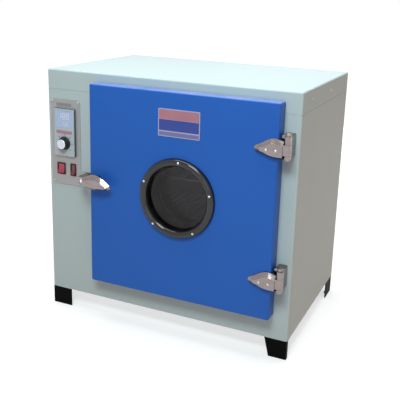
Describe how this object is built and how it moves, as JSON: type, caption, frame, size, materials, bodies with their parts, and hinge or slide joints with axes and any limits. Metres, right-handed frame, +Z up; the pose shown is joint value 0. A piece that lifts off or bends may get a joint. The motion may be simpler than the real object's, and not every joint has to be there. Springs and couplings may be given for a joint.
{
  "type": "bench drying oven",
  "caption": "Lagged heating oven for the laboratory bench: side-hung door with round window, lever latch, control column with set knob, vertical controller and rocker switches, on four feet.",
  "frame": {"origin": "on the floor, in the middle of the whole footprint, latch handle and rear vent included", "axes": "+X to the right of someone facing the door, +Y to the rear, +Z up; the door face looks along -Y"},
  "size_m": [0.7842, 0.604, 0.75],
  "materials": {
    "case_paint": "semi-gloss enamel, pale grey-green blue",
    "door_paint": "gloss enamel, blue",
    "chrome": "polished plate",
    "stainless": "fine brushed",
    "zinc_sheet": "zinc-plated, dull",
    "foot_paint": "black, satin",
    "rock_wool": "fibrous, matt",
    "silicone": "matt, translucent grey",
    "bezel_black": "gloss black",
    "glass": "clear toughened",
    "badge": "satin plate with plain colour bands",
    "panel_silver": "fine satin",
    "case_plastic": "fine grain, grey",
    "black_plastic": "fine grain, black",
    "display_tint": "pale blue tinted window",
    "display_dark": "grey",
    "knob_silver": "spun face",
    "red_rocker": "gloss red",
    "heater_sheath": "heat-tinted",
    "cast_motor": "as cast",
    "screw_plate": "plated"
  },
  "bodies": {
    "cabinet": {"top_cover": "case_paint", "front_frame": "case_paint", "side_panel_right": "case_paint", "side_panel_left": "case_paint", "rear_panel": "case_paint", "base_pan": "zinc_sheet", "bay_partition": "zinc_sheet", "foot_front_left": "foot_paint", "foot_front_right": "foot_paint", "foot_rear_right": "foot_paint", "foot_rear_left": "foot_paint", "foot_bolts": "screw_plate", "chamber_liner": "stainless", "chamber_lagging": "rock_wool", "chamber_supports": "zinc_sheet", "shelf_rails_left": "stainless", "shelf_rails_right": "stainless", "air_baffle": "stainless", "heater_elements": "heater_sheath", "fan_motor": "cast_motor", "temperature_probe": "stainless", "vent_tube": "stainless", "vent_collar": "cast_motor", "hinge_base_lower": "chrome", "hinge_base_upper": "chrome", "hinge_pins": "chrome", "latch_keeper": "chrome", "control_plate": "panel_silver", "controller_case": "case_plastic", "controller_window": "display_tint", "display_module": "display_dark", "switch_housings": "black_plastic", "cable_gland": "black_plastic", "case_screws": "screw_plate"},
    "door": {"door_skin": "door_paint", "door_liner": "stainless", "door_lagging": "rock_wool", "door_gasket": "silicone", "window_bezel": "bezel_black", "window_sleeve": "stainless", "window_glass_outer": "glass", "window_glass_inner": "glass", "door_screws": "screw_plate", "badge_plate": "badge", "hinge_strap_lower": "chrome", "hinge_strap_upper": "chrome", "latch_base": "chrome", "latch_pin": "chrome"},
    "latch": {"latch_handle": "chrome"},
    "roller": {"keeper_roller": "chrome"},
    "knob": {"set_knob": "black_plastic", "knob_cap": "knob_silver"},
    "heat_rocker": {"rocker_heat": "red_rocker"},
    "fan_rocker": {"rocker_fan": "red_rocker"},
    "fan": {"fan_impeller": "stainless", "fan_shaft": "stainless"},
    "damper": {"vent_damper": "black_plastic"},
    "lower_shelf": {"shelf_lower": "stainless"},
    "upper_shelf": {"shelf_upper": "stainless"}
  },
  "joints": [
    {"name": "door_hinge", "type": "hinge", "parent": "cabinet", "child": "door", "pos_m": [0.372, -0.27, 0.428], "axis": [0, 0, 1], "range_deg": [0, 120]},
    {"name": "latch_pull", "type": "hinge", "parent": "door", "child": "latch", "pos_m": [-0.188, -0.282, 0.447], "axis": [0, 0, -1], "range_deg": [0, 28]},
    {"name": "roller_spin", "type": "hinge", "parent": "cabinet", "child": "roller", "pos_m": [-0.241, -0.264, 0.438], "axis": [0, 0, 1], "continuous": true},
    {"name": "knob_turn", "type": "hinge", "parent": "cabinet", "child": "knob", "pos_m": [-0.3275, -0.242, 0.533], "axis": [0, 1, 0], "range_deg": [0, 270]},
    {"name": "heat_switch", "type": "hinge", "parent": "cabinet", "child": "heat_rocker", "pos_m": [-0.346, -0.2242, 0.452], "axis": [1, 0, 0], "range_deg": [0, 16]},
    {"name": "fan_switch", "type": "hinge", "parent": "cabinet", "child": "fan_rocker", "pos_m": [-0.3035, -0.2242, 0.452], "axis": [1, 0, 0], "range_deg": [0, 16]},
    {"name": "fan_spin", "type": "hinge", "parent": "cabinet", "child": "fan", "pos_m": [0.066, 0.14, 0.428], "axis": [0, 1, 0], "continuous": true},
    {"name": "vent_turn", "type": "hinge", "parent": "cabinet", "child": "damper", "pos_m": [0.216, 0.292, 0.604], "axis": [0, 1, 0], "range_deg": [0, 90]},
    {"name": "lower_shelf_slide", "type": "slide", "parent": "cabinet", "child": "lower_shelf", "axis": [0, -1, 0], "range_m": [0, 0.012]},
    {"name": "upper_shelf_slide", "type": "slide", "parent": "cabinet", "child": "upper_shelf", "axis": [0, -1, 0], "range_m": [0, 0.012]}
  ]
}
